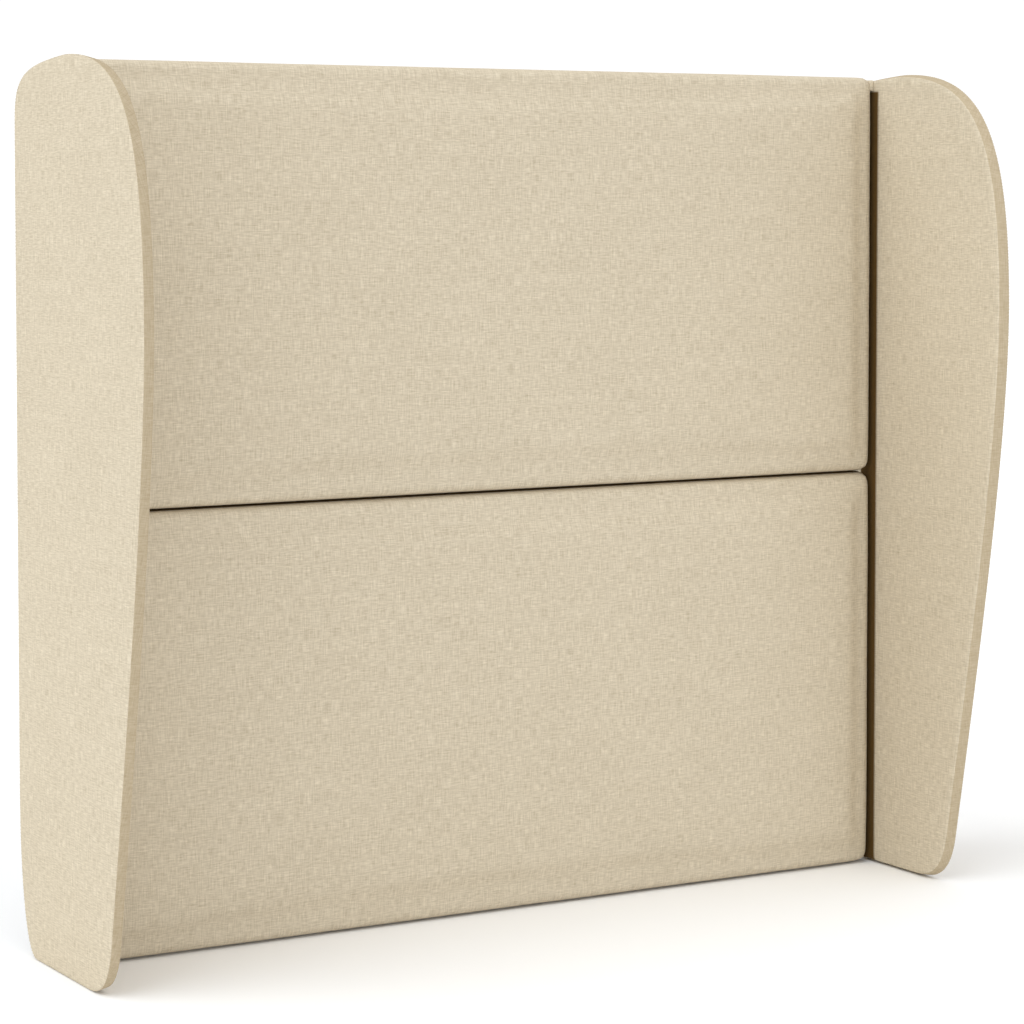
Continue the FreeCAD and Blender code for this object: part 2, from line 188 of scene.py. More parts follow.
class Recipe:
    """The nodes of one material, round its Principled shader."""

    def __init__(self, name: str, constants: dict[str, Any]) -> None:
        """Start a material.

        Args:
            name: the material's name.
            constants: the shader's sockets that are the same all over.
        """
        self.material = bpy.data.materials.new(name)
        self.material.use_nodes = True
        self.tree = self.material.node_tree
        self.shader = self.tree.nodes["Principled BSDF"]
        for socket, value in constants.items():
            self.shader.inputs[socket].default_value = value

    def node(self, kind: str, settings: Optional[dict[str, Any]] = None,
             sockets: Optional[dict[Any, Any]] = None, output: Any = 0) -> Term:
        """Add any node.

        Args:
            kind: the node's type.
            settings: its settings, which are set before its sockets.
            sockets: values or Terms for its inputs, by name or number.
            output: the output wanted, by name or number.

        Returns:
            That output.
        """
        made = self.tree.nodes.new(kind)
        for name, value in (settings or {}).items():
            setattr(made, name, value)
        for key, value in (sockets or {}).items():
            if isinstance(value, Term):
                self.tree.links.new(value.socket, made.inputs[key])
            else:
                made.inputs[key].default_value = value
        return Term(self, made.outputs[output])

    def place(self) -> Term:
        """Object coordinates, in metres."""
        return self.node("ShaderNodeTexCoord", output="Object")

    def cloth(self) -> Term:
        """The piece's own cloth coordinates, in metres along weft and warp."""
        return self.node("ShaderNodeUVMap", {"uv_map": CLOTH_MAP})

    def scaled(self, vector: Term, scale: Point, turn: Point = (0.0, 0.0, 0.0)) -> Term:
        """A pattern's coordinates, stretched and turned by a Mapping node.

        Args:
            vector: the coordinates.
            scale: how often the pattern repeats in a metre, each way.
            turn: rotation in radians.

        Returns:
            The new coordinates.
        """
        return self.node("ShaderNodeMapping", None, {"Vector": vector, "Scale": scale, "Rotation": turn})

    def noise(self, vector: Term, scale: float = 1.0, detail: float = 2.0,
              roughness: float = 0.5, distortion: float = 0.0) -> Term:
        """Smooth noise from 0 to 1.

        Args:
            vector: the coordinates.
            scale: how fine the noise is.
            detail: how many finer layers it has.
            roughness: how strong those layers are.
            distortion: how far it is stirred.

        Returns:
            The noise.
        """
        return self.node("ShaderNodeTexNoise", {"noise_dimensions": "3D"},
                         {"Vector": vector, "Scale": scale, "Detail": detail,
                          "Roughness": roughness, "Distortion": distortion})

    def axis(self, vector: Term, index: int) -> Term:
        """One of a vector's three numbers."""
        return self.node("ShaderNodeSeparateXYZ", None, {0: vector}, index)

    def mix(self, first: Any, second: Any, factor: Any) -> Term:
        """A colour between two colours.

        Args:
            first: the colour at factor 0.
            second: the colour at factor 1.
            factor: the share of the second.

        Returns:
            The mixed colour.
        """
        colours = [value if isinstance(value, Term) else (*value, 1.0) for value in (first, second)]
        return self.node("ShaderNodeMix", {"data_type": "RGBA"},
                         {0: factor, 6: colours[0], 7: colours[1]}, 2)

    def finish(self, colour: Term, roughness: Any, height: Term, depth: float,
               strength: float = 1.0) -> bpy.types.Material:
        """Feed the shader.

        Args:
            colour: the base colour.
            roughness: the roughness, a Term or a number.
            height: the height of the surface, from 0 to 1.
            depth: how far height 1 stands up, in metres.
            strength: how strongly the light follows it.

        Returns:
            The material.
        """
        bump = self.node("ShaderNodeBump", None,
                         {"Height": height, "Distance": depth, "Strength": strength})
        for socket, value in (("Base Color", colour), ("Roughness", roughness), ("Normal", bump)):
            if isinstance(value, Term):
                self.tree.links.new(value.socket, self.shader.inputs[socket])
            else:
                self.shader.inputs[socket].default_value = value
        return self.material


@dataclass(frozen=True)
class Linen:
    """Cream linen, woven from uneven yarn with long slubs across it."""

    name: str = "cream linen"
    light: Colour = (0.800, 0.715, 0.565)
    dark: Colour = (0.430, 0.360, 0.255)
    yarn: float = 0.0017
    slub_length: float = 0.017
    slub_width: float = 0.0019
    depth: float = 0.0006
    # Painted shade: the deep places between the panels and wings, where the cloth's colour is darkened to deep
    # brown to stand in for the shade there
    nook_painted_shade: Colour = (0.092, 0.047, 0.009)
    groove_sides: tuple[float, float] = (0.7642, 0.7752)
    groove_top: float = 1.3840
    seam_height: float = 0.7055
    seam_half: float = 0.0021
    nook_depths: tuple[float, float] = (0.0945, 0.1360)
    # Painted shade: the band round a wing's edge, darkened to stand in for the shade on it where it turns away
    # from the light
    band: tuple[float, float] = (0.7745, 0.7913)
    band_painted_shade: Colour = (0.33, 0.235, 0.115)
    band_painted_shade_share: float = 0.46

    def painted_nook_shade(self, recipe: Recipe) -> Term:
        """Painted shade: where the cloth lies deep in a groove or in the seam between the panels, and its
        colour is darkened to stand in for the shade there.

        Args:
            recipe: the material's nodes.

        Returns:
            1 deep inside and 0 outside.
        """
        place = recipe.place()
        beside, height = recipe.axis(place, 0).size(), recipe.axis(place, 2)
        left, right = self.groove_sides
        groove = beside.within(left, right, 0.0006, 0.0004)
        below_top = 1 - height.spread(self.groove_top - 0.003, self.groove_top)
        at_seam = 1 - (height - self.seam_height).size().spread(self.seam_half - 0.0004, self.seam_half)
        between_grooves = 1 - beside.spread(left, right)
        deepest = recipe.node("ShaderNodeMath", {"operation": "MAXIMUM"},
                              {0: groove * below_top, 1: at_seam * between_grooves})
        return deepest * recipe.axis(place, 1).within(*self.nook_depths, 0.006, 0.002)

    def painted_band_shade_mask(self, recipe: Recipe) -> Term:
        """Where the cloth lies on the band round a wing's edge, which is darkened as painted shade.

        Args:
            recipe: the material's nodes.

        Returns:
            1 on the band and 0 elsewhere.
        """
        return recipe.axis(recipe.place(), 0).size().within(*self.band, 0.0006, 0.0006)

    def material(self) -> bpy.types.Material:
        """The linen's material, on a piece's cloth coordinates."""
        recipe = Recipe(self.name, {"Sheen Weight": 0.10, "Sheen Roughness": 0.55,
                                    "Sheen Tint": (0.95, 0.80, 0.55, 1.0), "Specular IOR Level": 0.04})
        cloth = recipe.cloth()
        weft = recipe.noise(recipe.scaled(cloth, (1 / self.slub_length, 1 / self.slub_width, 1.0)),
                            detail=3.0, roughness=0.62)
        warp = recipe.noise(recipe.scaled(cloth, (1 / self.slub_width, 0.7 / self.slub_length, 1.0)),
                            detail=2.0, roughness=0.5)
        rows = recipe.noise(recipe.scaled(cloth, (5.0, 1 / (2.2 * self.slub_width), 1.0)), detail=1.0)
        cloud = recipe.noise(cloth, scale=7.0, detail=2.0)
        turns = 2 * math.pi / self.yarn
        across = (recipe.axis(cloth, 0) * turns + weft * 2.0).sine()
        along = (recipe.axis(cloth, 1) * turns + warp * 2.0).sine()
        cross = across * along
        slub, thread = weft.spread(0.30, 0.72), warp.spread(0.30, 0.72)
        tone = (slub * 0.52 + thread * 0.36 + rows.spread(0.3, 0.7) * 0.08
                + cloud.spread(0.3, 0.7) * 0.04 + cross * 0.06 - 0.03)
        colour = recipe.mix(self.dark, self.light, tone)
        # painted shade: the band round each wing's edge darkened
        colour = recipe.mix(colour, self.band_painted_shade, self.painted_band_shade_mask(recipe) * self.band_painted_shade_share)
        # painted shade: the cloth darkened to deep brown deep in the grooves and the seam
        colour = recipe.mix(colour, self.nook_painted_shade, self.painted_nook_shade(recipe))
        height = slub * 0.45 + thread * 0.35 + cross * 0.2
        return recipe.finish(colour, cloud.spread(0.3, 0.7, 0.86, 0.96), height, self.depth, 0.7)


@dataclass(frozen=True)
class SeamThread:
    """Sewing thread a shade lighter than the linen."""

    name: str = "seam thread"
    light: Colour = (0.70, 0.62, 0.47)
    dark: Colour = (0.50, 0.42, 0.29)

    def material(self) -> bpy.types.Material:
        """The thread's material, with its twist as bump."""
        recipe = Recipe(self.name, {"Sheen Weight": 0.2, "Specular IOR Level": 0.35})
        place = recipe.place()
        twist = recipe.noise(recipe.scaled(place, (2600.0, 2600.0, 2600.0)), detail=1.0)
        colour = recipe.mix(self.dark, self.light, twist.spread(0.3, 0.7))
        return recipe.finish(colour, 0.7, twist, 0.0001, 0.5)


@dataclass(frozen=True)
class BackCloth:
    """The black bonded cloth that closes the back of each panel."""

    name: str = "black back cloth"
    light: Colour = (0.030, 0.030, 0.032)
    dark: Colour = (0.011, 0.011, 0.012)
    dot: float = 0.0016

    def material(self) -> bpy.types.Material:
        """Pressed dots in rows, with fibres between them."""
        recipe = Recipe(self.name, {"Sheen Weight": 0.35, "Sheen Roughness": 0.4,
                                    "Specular IOR Level": 0.35})
        cloth = recipe.cloth()
        dots = recipe.node("ShaderNodeTexVoronoi", {"feature": "F1"},
                           {"Vector": cloth, "Scale": 1 / self.dot, "Randomness": 0.15}, "Distance")
        fibres = recipe.noise(recipe.scaled(cloth, (420.0, 900.0, 1.0), (0.0, 0.0, 0.5)), detail=4.0,
                              roughness=0.7, distortion=1.2)
        crease = recipe.noise(cloth, scale=9.0, detail=3.0)
        pressed = dots.spread(0.16, 0.34)
        tone = pressed * 0.5 + fibres.spread(0.3, 0.7) * 0.35 + crease.spread(0.35, 0.65) * 0.15
        colour = recipe.mix(self.dark, self.light, tone)
        height = pressed * 0.6 + fibres * 0.3 + crease * 2.0
        return recipe.finish(colour, pressed.spread(0.0, 1.0, 0.55, 0.82), height, 0.0003, 0.8)


@dataclass(frozen=True)
class Timber:
    """Sawn softwood with its growth rings, or peeled veneer."""

    name: str
    grain: Grain
    early: Colour = (0.63, 0.44, 0.25)
    late: Colour = (0.38, 0.22, 0.10)
    knot: Colour = (0.16, 0.08, 0.035)
    rings: float = 95.0

    def along_grain(self, along: float, across: float) -> Point:
        """How often a pattern repeats in a metre, each way.

        Args:
            along: along the grain.
            across: across it.

        Returns:
            The scale of the pattern's coordinates.
        """
        scale = [across] * 3
        scale[self.grain.value] = along
        return tuple(scale)

    def material(self) -> bpy.types.Material:
        """Long rings, pores and the odd knot, along the board."""
        recipe = Recipe(self.name, {"Specular IOR Level": 0.3})
        place = recipe.place()
        board = recipe.scaled(place, self.along_grain(0.07, 1.0))
        drift = recipe.noise(board, scale=7.0, detail=2.0)
        other = 0 if self.grain is Grain.UPRIGHT else 2
        rings = (recipe.axis(board, other) * self.rings * 2.0 + recipe.axis(board, 1) * self.rings * 3.0
                 + drift * 26.0).sine()
        lines = (rings * 0.5 + 0.5) ** 2.2
        pores = recipe.noise(recipe.scaled(place, self.along_grain(30.0, 900.0)), detail=2.0)
        tint = recipe.noise(board, scale=3.0, detail=1.0)
        knots = recipe.node("ShaderNodeTexVoronoi", {"feature": "F1"},
                            {"Vector": recipe.scaled(place, self.along_grain(2.6, 9.0)),
                             "Scale": 1.0, "Randomness": 1.0}, "Distance")
        wood = recipe.mix(self.early, self.late, lines * 0.55 + pores.spread(0.5, 0.75) * 0.18
                          + tint.spread(0.3, 0.7) * 0.18)
        colour = recipe.mix(wood, self.knot, knots.spread(0.05, 0.11, 1.0, 0.0) * 0.8)
        height = lines * 0.4 + pores * 0.6
        return recipe.finish(colour, lines.spread(0.0, 1.0, 0.72, 0.56), height, 0.0003, 0.6)


@dataclass(frozen=True)
class Steel:
    """A steel finish: bright zinc, galvanised wire or black powder coat."""

    name: str
    light: Colour
    dark: Colour
    metallic: float
    roughness: tuple[float, float]
    grit: float
    depth: float

    def material(self) -> bpy.types.Material:
        """Fine grit and faint handling marks."""
        recipe = Recipe(self.name, {"Metallic": self.metallic})
        place = recipe.place()
        grit = recipe.noise(recipe.scaled(place, (self.grit,) * 3), detail=3.0, roughness=0.6)
        marks = recipe.noise(recipe.scaled(place, (60.0, 60.0, 420.0)), detail=3.0, distortion=0.8)
        tone = grit.spread(0.3, 0.7) * 0.6 + marks.spread(0.4, 0.65) * 0.4
        colour = recipe.mix(self.dark, self.light, tone)
        low, high = self.roughness
        return recipe.finish(colour, marks.spread(0.3, 0.7, low, high), grit, self.depth, 0.6)


@dataclass(frozen=True)
class StudioPaint:
    """The plain pale paint of the studio floor."""

    name: str = "studio floor"
    light: Colour = (0.98, 0.98, 0.98)
    dark: Colour = (0.96, 0.96, 0.96)

    def material(self) -> bpy.types.Material:
        """Almost even white paint."""
        recipe = Recipe(self.name, {"Specular IOR Level": 0.1})
        cloud = recipe.noise(recipe.place(), scale=0.8, detail=2.0)
        colour = recipe.mix(self.dark, self.light, cloud)
        return recipe.finish(colour, 0.9, cloud, 0.0002, 0.1)


# ---------------------------------------------------------------------------
# Meshes
# ---------------------------------------------------------------------------


def linked(name: str, data: Any) -> bpy.types.Object:
    """A new object in the scene, at the origin.

    Args:
        name: its name.
        data: its mesh, light or camera.

    Returns:
        The object.
    """
    made = bpy.data.objects.new(name, data)
    bpy.context.scene.collection.objects.link(made)
    return made


@dataclass
class Pattern:
    """Points, cloth coordinates and faces gathered for one piece."""

    points: list[Point] = field(default_factory=list)
    cloth: list[tuple[float, float]] = field(default_factory=list)
    faces: list[tuple[int, ...]] = field(default_factory=list)

    def add(self, points: Iterable[Point], cloth: Iterable[tuple[float, float]]) -> list[int]:
        """Add points.

        Args:
            points: their places.
            cloth: their cloth coordinates.

        Returns:
            Their numbers.
        """
        start = len(self.points)
        self.points.extend(tuple(map(float, point)) for point in points)
        self.cloth.extend(tuple(map(float, pair)) for pair in cloth)
        return list(range(start, len(self.points)))

    def bridge(self, first: list[int], second: list[int]) -> None:
        """Join two closed loops of the same length with quads."""
        for i in range(len(first)):
            j = (i + 1) % len(first)
            self.faces.append((first[i], first[j], second[j], second[i]))

    def piece(self, name: str, outward: Point, material: bpy.types.Material) -> bpy.types.Object:
        """Make the piece.

        Args:
            name: its name.
            outward: the way most of its faces look.
            material: its finish.

        Returns:
            The object, at the origin.
        """
        mesh = bpy.data.meshes.new(name)
        mesh.from_pydata(self.points, [], self.faces)
        work = bmesh.new()
        work.from_mesh(mesh)
        bmesh.ops.recalc_face_normals(work, faces=work.faces)
        facing = sum((face.normal * face.calc_area() for face in work.faces), Vector())
        if facing.dot(Vector(outward)) < 0:
            bmesh.ops.reverse_faces(work, faces=work.faces)
        work.to_mesh(mesh)
        work.free()
        layer = mesh.uv_layers.new(name=CLOTH_MAP)
        corners = np.zeros(len(mesh.loops), np.int32)
        mesh.loops.foreach_get("vertex_index", corners)
        layer.data.foreach_set("uv", np.array(self.cloth, np.float32)[corners].ravel())
        mesh.materials.append(material)
        mesh.shade_smooth()
        return linked(name, mesh)


def inside_points(loops: list[np.ndarray], spacing: float, margin: float) -> np.ndarray:
    """Points in rows inside an outline and outside its holes.

    Args:
        loops: the outline and then the holes, each a closed loop of points.
        spacing: how far apart the points stand.
        margin: how far from any loop they stay.

    Returns:
        The points.
    """
    low, high = loops[0].min(0), loops[0].max(0)
    rows = []
    for k, v in enumerate(np.arange(low[1] + spacing / 2, high[1], spacing * math.sqrt(3) / 2)):
        start = low[0] + spacing * (0.25 if k % 2 else 0.75)
        rows.append(np.array([(u, v) for u in np.arange(start, high[0], spacing)]))
    grid = np.concatenate(rows)
    kept = np.zeros(len(grid), bool)
    near = np.full(len(grid), 1e9)
    for loop in loops:
        for a, b in zip(loop, np.roll(loop, -1, 0)):
            step = b - a
            share = np.clip(((grid - a) @ step) / max(step @ step, 1e-12), 0, 1)
            near = np.minimum(near, np.linalg.norm(grid - (a + share[:, None] * step), axis=1))
            spans = (a[1] > grid[:, 1]) != (b[1] > grid[:, 1])
            if abs(step[1]) > 1e-12:
                kept ^= spans & (grid[:, 0] < a[0] + (grid[:, 1] - a[1]) * step[0] / step[1])
    return grid[kept & (near > margin)]


def filled(loops: list[np.ndarray], spacing: float) -> tuple[np.ndarray, list[tuple[int, ...]]]:
    """Fill an outline with even triangles.

    Args:
        loops: the outline and then its holes.
        spacing: how far apart the inner points stand.

    Returns:
        All points, the loops' own first and in order, and the triangles.
    """
    extra = inside_points(loops, spacing, spacing * 0.62)
    points = np.concatenate([*loops, extra])
    starts = np.cumsum([0] + [len(loop) for loop in loops])
    borders = [list(range(starts[i], starts[i + 1])) for i in range(len(loops))]
    inside, inside_with_holes = 1, 2
    kind = inside_with_holes if len(loops) > 1 else inside
    _, _, faces, sources, _, _ = delaunay_2d_cdt([Vector(p) for p in points], [], borders, kind, 1e-7)
    back = [source[0] if source else len(points) for source in sources]
    return points, [tuple(back[i] for i in face) for face in faces]


def baked(piece: bpy.types.Object) -> None:
    """Make a piece's modifiers part of its mesh."""
    graph = bpy.context.evaluated_depsgraph_get()
    mesh = bpy.data.meshes.new_from_object(piece.evaluated_get(graph), preserve_all_data_layers=True,
                                           depsgraph=graph)
    old = piece.data
    piece.modifiers.clear()
    piece.vertex_groups.clear()
    piece.data = mesh
    mesh.name = piece.name
    bpy.data.meshes.remove(old)


def places_of(piece: bpy.types.Object) -> np.ndarray:
    """The places of a piece's points, one row each."""
    flat = np.zeros(len(piece.data.vertices) * 3, np.float32)
    piece.data.vertices.foreach_get("co", flat)
    return flat.reshape(-1, 3).astype(float)


def put_places(piece: bpy.types.Object, places: np.ndarray) -> None:
    """Give a piece's points new places."""
    piece.data.vertices.foreach_set("co", places.astype(np.float32).ravel())
    piece.data.update()


@dataclass(frozen=True)
class Stuffing:
    """How a cover swells over what is in it."""

    pressure: float = 4.0
    frames: int = 20
    quality: int = 4
    mass: float = 0.25
    bending: float = 2.0
    stiffness: float = 18.0
    cap: Point = (0.0015, 0.0045, 0.0015)
    calm: int = 14
    quick_swell: float = 0.02

    def calmed(self, piece: bpy.types.Object, moved: np.ndarray, held: list[int]) -> np.ndarray:
        """Even out how far neighbouring points moved, as foam does under a taut cover.

        Args:
            piece: the cover.
            moved: how far each point moved.
            held: the numbers of the points that are fixed.

        Returns:
            The evened moves.
        """
        pairs = np.zeros(len(piece.data.edges) * 2, np.int32)
        piece.data.edges.foreach_get("vertices", pairs)
        first, second = pairs.reshape(-1, 2).T
        for _ in range(self.calm):
            total = np.zeros_like(moved)
            count = np.zeros(len(moved))
            for a, b in ((first, second), (second, first)):
                np.add.at(total, a, moved[b])
                np.add.at(count, a, 1)
            moved = 0.4 * moved + 0.6 * total / np.maximum(count, 1)[:, None]
            moved[held] = 0.0
        return moved

    def simulated(self, piece: bpy.types.Object, held: list[int]) -> None:
        """Run the cloth simulation and make its result part of the mesh.

        Args:
            piece: the cover.
            held: the numbers of the points that are fixed.
        """
        piece.vertex_groups.new(name="held").add(held, 1.0, "REPLACE")
        cloth = piece.modifiers.new("swell", "CLOTH")
        settings = {"quality": self.quality, "mass": self.mass, "tension_stiffness": self.stiffness,
                    "compression_stiffness": self.stiffness, "bending_stiffness": self.bending,
                    "vertex_group_mass": "held", "use_pressure": True,
                    "uniform_pressure_force": self.pressure}
        for name, value in settings.items():
            setattr(cloth.settings, name, value)
        cloth.settings.effector_weights.gravity = 0.0
        cloth.collision_settings.use_collision = False
        cloth.point_cache.frame_start = 1
        cloth.point_cache.frame_end = self.frames
        for number in range(1, self.frames + 1):
            bpy.context.scene.frame_set(number)
        baked(piece)
        bpy.context.scene.frame_set(1)

    def swell(self, piece: bpy.types.Object, held: list[int], taut: tuple[int, ...] = ()) -> None:
        """Swell a cover by cloth simulation.

        Args:
            piece: the cover, a little smaller than it should be.
            held: the numbers of the points that are fixed.
            taut: the axes along which the cover can't draw in.
        """
        rest = places_of(piece)
        self.simulated(piece, held)
        moved = places_of(piece) - rest
        middle = (rest.max(0) + rest.min(0)) / 2
        for axis in taut:
            outwards = np.sign(rest[:, axis] - middle[axis])
            moved[:, axis] = np.maximum(moved[:, axis] * outwards, 0) * outwards
        cap = np.array(self.cap)
        put_places(piece, rest + np.tanh(self.calmed(piece, moved, held) / cap) * cap)


def smoothed(piece: bpy.types.Object) -> None:
    """Finish a soft piece with one level of subdivision."""
    modifier = piece.modifiers.new("smooth", "SUBSURF")
    modifier.levels = modifier.render_levels = 1
    baked(piece)
    piece.data.shade_smooth()


def added(piece: bpy.types.Object, nodes: tuple[str, ...] = ()) -> bpy.types.Object:
    """Put a finished piece on the headboard and report it.

    Args:
        piece: the piece.
        nodes: the CAD nodes it stands for.

    Returns:
        The piece.
    """
    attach(piece, "root")
    if nodes:
        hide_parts(*nodes)
    LOG.info("%s: %d faces, stands for %s", piece.name, len(piece.data.polygons), ", ".join(nodes) or "none")
    return piece


# ---------------------------------------------------------------------------
# Sub-assemblies
# ---------------------------------------------------------------------------


@dataclass
class PaddedPanel:
    """The linen cover of one back panel over its foam, and the cloth that closes its back."""

    name: str
    linen: bpy.types.Material
    back_cloth: bpy.types.Material
    cloth_holes: tuple[tuple[float, float, float], ...]
    grid: float = 0.010
    edge_round: float = 0.015
    shrink: float = 0.0012
    sink: float = 0.003
    flange: float = 0.040
    corner_drop: float = 0.0038
    corner_reach: float = 0.015
    crown: float = 0.0050
    crown_reach: float = 0.036
    unevenness: float = 0.0005
    side_bulge: float = 0.0058
    seam_bulge: float = 0.0014
    bulge_start: float = 0.022
    side_band: float = 0.0025
    cloth_step: float = 0.016
    rail: float = 0.052
    sag: float = 0.0035
    sag_reach: float = 0.09
    crease: float = 0.0011
    pucker: float = 0.00012
    pucker_pitch: float = 0.045
    cloth_thickness: float = 0.0003
    stuffing: Stuffing = Stuffing()

    def profile(self, front: float, back: float) -> list[tuple[float, float]]:
        """The cover's section from the front's edge, round the side and in behind.

        Args:
            front: y of the front face.
            back: y of the back of the flange.

        Returns:
            How far out from the front's flat part, and y, of each step.
        """
        r = self.edge_round
        steps = [(r * math.sin(a), front + r * (1 - math.cos(a)))
                 for a in (math.radians(angle) for angle in (18, 36, 54, 72, 90))]
        depth = back - 0.002 - (front + r)
        steps += [(r, front + r + depth * share) for share in (0.2, 0.4, 0.6, 0.8, 1.0)]
        steps.append((r - 0.0012, back))
        steps += [(r - self.flange * share, back) for share in (0.15, 0.4, 0.7, 1.0)]
        return steps

    def cover(self) -> bpy.types.Object:
        """The swollen cover, which stands for the panel's cover and foam."""
        low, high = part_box(f"{self.name}_cover")
        r = self.edge_round
        left, right = low.x + self.shrink, high.x - self.shrink
        bottom, top = low.z + self.shrink, high.z - self.shrink
        front = low.y + self.sink
        columns = round((right - left - 2 * r) / self.grid)
        rows = round((top - bottom - 2 * r) / self.grid)
        xs = np.linspace(left + r, right - r, columns + 1)
        zs = np.linspace(bottom + r, top - r, rows + 1)
        pattern = Pattern()
        number = np.array(pattern.add([(x, front, z) for z in zs for x in xs],
                                      [(x, z) for z in zs for x in xs])).reshape(rows + 1, columns + 1)
        for j in range(rows):
            for i in range(columns):
                pattern.faces.append((number[j, i], number[j, i + 1], number[j + 1, i + 1], number[j + 1, i]))
        border = ([(0, i, 0, -1) for i in range(1, columns)] + [(j, columns, 1, 0) for j in range(1, rows)]
                  + [(rows, i, 0, 1) for i in range(columns - 1, 0, -1)]
                  + [(j, 0, -1, 0) for j in range(rows - 1, 0, -1)])
        corners = {0: (0, 0, -1, -1), columns - 1: (0, columns, 1, -1),
                   columns + rows - 2: (rows, columns, 1, 1),
                   2 * columns + rows - 3: (rows, 0, -1, 1)}
        for index in sorted(corners, reverse=True):
            border.insert(index, corners[index])
        loop = [int(number[j, i]) for j, i, _, _ in border]
        before, travelled, y_before, out_before = loop, 0.0, front, 0.0
        held = []
        for out, y in self.profile(front, high.y):
            travelled += math.hypot(out - out_before, y - y_before)
            ring, cloth = [], []
            for j, i, dx, dz in border:
                reach = out * (0.95 if dx and dz else 1.0)
                ring.append((xs[i] + dx * reach, y, zs[j] + dz * reach))
                cloth.append((xs[i] + dx * travelled, zs[j] + dz * travelled))
            current = pattern.add(ring, cloth)
            pattern.bridge(before, current)
            before, y_before, out_before = current, y, out
            if y > high.y - 0.003:
                held += current
        piece = pattern.piece(f"{self.name}_pad", (0, -1, 0), self.linen)
        rest = places_of(piece)
        self.stuffing.swell(piece, held, (0, 2))
        self.shape(piece, rest, low, high)
        smoothed(piece)
        added(piece, (f"{self.name}_cover", f"{self.name}_foam"))
        return piece

    def shape(self, piece: bpy.types.Object, rest: np.ndarray, low: Vector, high: Vector) -> None:
        """Ease the cover towards its edges, pull its corners in and fill its sides.

        Args:
            piece: the cover.
            rest: where its points were before it swelled.
            low: lowest corner of the panel's box.
            high: its highest corner.
        """
        places = places_of(piece)
        x, y, z = places.T
        middle = (low + high) / 2
        side = np.clip(np.minimum(x - low.x, high.x - x), 0, None)
        end = np.clip(np.minimum(z - low.z, high.z - z), 0, None)
        facing = np.clip((high.y - y) / (high.y - low.y), 0, 1)
        ease = np.exp(-side / self.crown_reach) + 0.7 * np.exp(-end / self.crown_reach)
        wave = np.array([noise.noise(Vector((px * 4.2, pz * 6.5, 3.7))) for px, _, pz in places])
        ripple = np.array([noise.noise(Vector((px * 11.0, pz * 15.0, 8.1))) for px, _, pz in places])
        y += facing * (self.crown * np.minimum(ease, 1.3)
                       + self.unevenness * (2.4 * wave + ripple) * (1 - np.exp(-end / 0.05)))
        near_front = 1 - np.clip((y - low.y - 0.010) / 0.018, 0, 1)
        pull = self.corner_drop * np.exp(-(side + end) / self.corner_reach) * near_front
        z -= np.sign(z - middle.z) * pull
        x -= np.sign(x - middle.x) * 0.4 * pull
        edge = np.array([noise.noise(Vector((px * 7.0, 1.3, pz * 7.0))) for px, _, pz in places])
        z -= np.sign(z - middle.z) * self.unevenness * (edge + 0.4) * np.exp(-end / 0.012)
        x, z = np.clip(x, low.x, high.x), np.clip(z, low.z, high.z)
        start = low.y + self.bulge_start
        depth = np.clip((rest[:, 1] - start) / (high.y - start), 0, 1)
        swell = np.sin(math.pi * depth) ** 1.2
        to_side = np.minimum(rest[:, 0] - low.x, high.x - rest[:, 0])
        at_side = np.clip(2 - to_side / self.side_band, 0, 1) * (rest[:, 1] < high.y - 0.001)
        x += (np.sign(x) * (high.x + self.side_bulge * swell) - x) * at_side
        seam, up = (high.z, 1) if self.name == "lower" else (low.z, -1)
        at_seam = np.clip(2 - np.abs(seam - rest[:, 2]) / self.side_band, 0, 1)
        filled_z = seam + up * self.seam_bulge * np.clip(swell * 1.6, 0, 1)
        z += (filled_z - z) * at_seam * np.clip(swell * 4, 0, 1)
        put_places(piece, np.stack([x, y, z], 1))

    def closing_cloth(self) -> bpy.types.Object:
        """The stretched cloth behind the panel.


        Returns:
            The cloth.
        """
        low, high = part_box(f"{self.name}_dust_cloth")
        wide, tall = high.x - low.x, high.z - low.z
        nx, nz = round(wide / self.cloth_step), round(tall / self.cloth_step)
        outline = ([(low.x + wide * i / nx, low.z) for i in range(nx)]
                   + [(high.x, low.z + tall * i / nz) for i in range(nz)]
                   + [(high.x - wide * i / nx, high.z) for i in range(nx)]
                   + [(low.x, high.z - tall * i / nz) for i in range(nz)])
        loops = [np.array(outline)]
        for x, z, radius in self.cloth_holes:
            loops.append(np.array([(x + radius * math.cos(a), z + radius * math.sin(a))
                                   for a in (math.tau * k / 14 for k in range(14))]))
        points, faces = filled(loops, self.cloth_step)
        sheet = Pattern()
        places = []
        for x, z in points:
            to_rail = min(x - low.x, high.x - x, z - low.z, high.z - z) - self.rail
            unheld = min([to_rail] + [abs(x - stud) - STUD_HALF for stud in STUD_PLACES])
            share = min(max(unheld / self.sag_reach, 0.0), 1.0)
            sag = self.sag * share * share * (3 - 2 * share)
            crease = abs(noise.noise(Vector((x * 14.0, z * 5.0, 2.0)))) * self.crease * share
            pucker = self.pucker * (1 + math.cos(x * math.tau / self.pucker_pitch)) * (unheld < 0)
            places.append((x, high.y - 0.00002 - sag - crease - pucker, z))
        sheet.add(places, points)
        sheet.faces = faces
        piece = sheet.piece(f"{self.name}_back_cloth", (0, 1, 0), self.back_cloth)
        shell = piece.modifiers.new("thickness", "SOLIDIFY")
        shell.thickness = self.cloth_thickness
        shell.offset = -1.0
        baked(piece)
        added(piece, (f"{self.name}_dust_cloth",))
        return piece

    def build(self) -> None:
        """Make and dress the whole panel."""
        pad = self.cover()
        self.closing_cloth()


